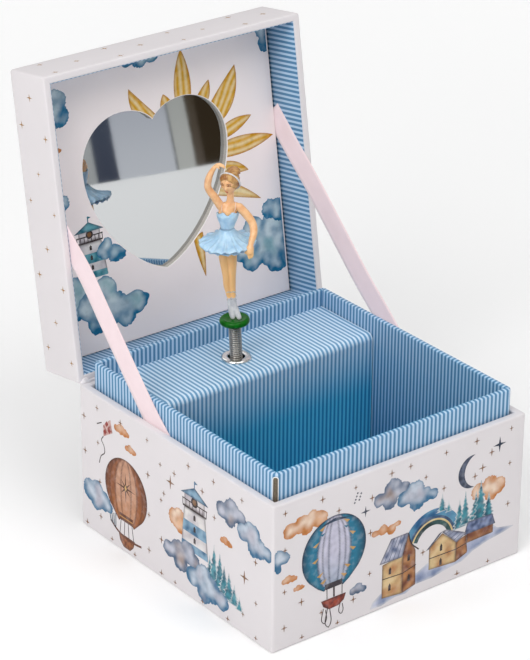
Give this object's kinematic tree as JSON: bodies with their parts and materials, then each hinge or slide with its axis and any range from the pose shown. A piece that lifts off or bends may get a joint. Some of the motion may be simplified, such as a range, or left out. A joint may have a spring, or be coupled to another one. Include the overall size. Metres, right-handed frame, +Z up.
{
  "type": "wind up music box",
  "caption": "Square card music box with a hinged lid, a heart-shaped mirror, a folding ballerina on a spring and a key-wound comb movement.",
  "frame": {"origin": "centre of the case's underside", "axes": "+X to the right along the front, +Y to the hinge side, +Z up; the lid is stored open on its ribbons"},
  "size_m": [0.11, 0.1481, 0.1639],
  "materials": {
    "base_paper": "plain paper",
    "greyboard": "bare greyboard",
    "print_white": "matt printed paper",
    "stripe_paper": "matt striped paper",
    "nickel": "polished nickel plate",
    "steel": "bright sheet steel",
    "zinc": "cast zinc",
    "brass": "turned brass",
    "spring_steel": "blued spring steel",
    "nylon": "moulded nylon",
    "green_plastic": "glossy moulded plastic",
    "figure_plastic": "painted moulded plastic",
    "mirror": "silvered acrylic mirror",
    "satin": "satin ribbon"
  },
  "bodies": {
    "case": {"base_sheet": "base_paper", "case_board": "greyboard", "case_wrap": "print_white", "neck_board": "greyboard", "neck_paper": "stripe_paper", "floor_paper": "stripe_paper", "movement_cover": "stripe_paper", "spindle_eyelet": "nickel", "key_bush": "nickel", "case_screws": "nickel", "bedplate": "zinc", "spring_housing": "steel", "mainspring": "spring_steel", "comb": "steel", "comb_screws": "steel", "cylinder_bracket_left": "steel", "cylinder_bracket_right": "steel", "governor_bracket": "steel", "fly_bracket": "steel", "spindle_bracket": "steel", "bracket_screws": "steel"},
    "great_wheel": {"great_wheel": "brass", "click": "steel", "click_pin": "steel"},
    "winding": {"winding_arbor": "steel", "arbor_clip": "steel", "ratchet_wheel": "brass", "winding_key": "nickel"},
    "cylinder": {"music_cylinder": "brass", "cylinder_shaft": "steel", "cylinder_pinion": "brass", "cylinder_gear": "brass"},
    "governor": {"governor_shaft": "steel", "governor_pinion": "steel", "worm_wheel": "nylon"},
    "fly": {"worm": "nylon", "fly": "steel"},
    "spindle": {"figure_spindle": "steel", "spindle_pinion": "brass"},
    "figure_spring": {"figure_spring": "spring_steel"},
    "figure": {"figure_stand": "green_plastic", "ballerina": "figure_plastic"},
    "lid": {"lid_board": "greyboard", "lid_wrap": "print_white", "lid_lining": "stripe_paper", "mirror_sheet": "mirror", "heart_panel": "print_white", "ribbon_left": "satin", "ribbon_right": "satin"}
  },
  "joints": [
    {"name": "lid_hinge", "type": "hinge", "parent": "case", "child": "lid", "pos_m": [0, 0.055, 0.0553], "axis": [1, 0, 0], "range_deg": [0, 99], "deforming": ["ribbon_left", "ribbon_right"]},
    {"name": "figure_bend", "type": "hinge", "parent": "case", "child": "figure_spring", "pos_m": [-0.0018, 0.0326, 0.064], "axis": [1, 0, 0], "range_deg": [0, 99], "deforming": ["figure_spring"]},
    {"name": "figure_spin", "type": "hinge", "parent": "figure_spring", "child": "figure", "pos_m": [-0.0018, 0.0343, 0.057], "axis": [-0.0331, 0.0262, 0.9991], "continuous": true},
    {"name": "play_drive", "type": "hinge", "parent": "case", "child": "great_wheel", "pos_m": [-0.0018, 0.0375, 0.03], "axis": [0, 1, 0], "continuous": true},
    {"name": "key_winding", "type": "hinge", "parent": "great_wheel", "child": "winding", "pos_m": [-0.0018, 0.0375, 0.03], "axis": [0, 1, 0], "continuous": true, "deforming": ["mainspring"]},
    {"name": "cylinder_turn", "type": "hinge", "parent": "case", "child": "cylinder", "pos_m": [0.0132, 0.0351, 0.03], "axis": [1, 0, 0], "continuous": true},
    {"name": "governor_turn", "type": "hinge", "parent": "case", "child": "governor", "pos_m": [0.022, 0.0351, 0.0192], "axis": [1, 0, 0], "continuous": true},
    {"name": "fly_turn", "type": "hinge", "parent": "case", "child": "fly", "pos_m": [0.0226, 0.0351, 0.0138], "axis": [0, 1, 0], "continuous": true},
    {"name": "spindle_turn", "type": "hinge", "parent": "case", "child": "spindle", "pos_m": [-0.0018, 0.0343, 0.03], "axis": [0, 0, 1], "continuous": true}
  ],
  "couplings": [
    {"joint": "figure_bend", "follows": "lid_hinge", "ratio": 1},
    {"joint": "cylinder_turn", "follows": "play_drive", "ratio": -4.1667},
    {"joint": "governor_turn", "follows": "play_drive", "ratio": 11.905},
    {"joint": "fly_turn", "follows": "play_drive", "ratio": -71.429},
    {"joint": "spindle_turn", "follows": "play_drive", "ratio": -3.125},
    {"joint": "figure_spin", "follows": "play_drive", "ratio": -3.125}
  ]
}
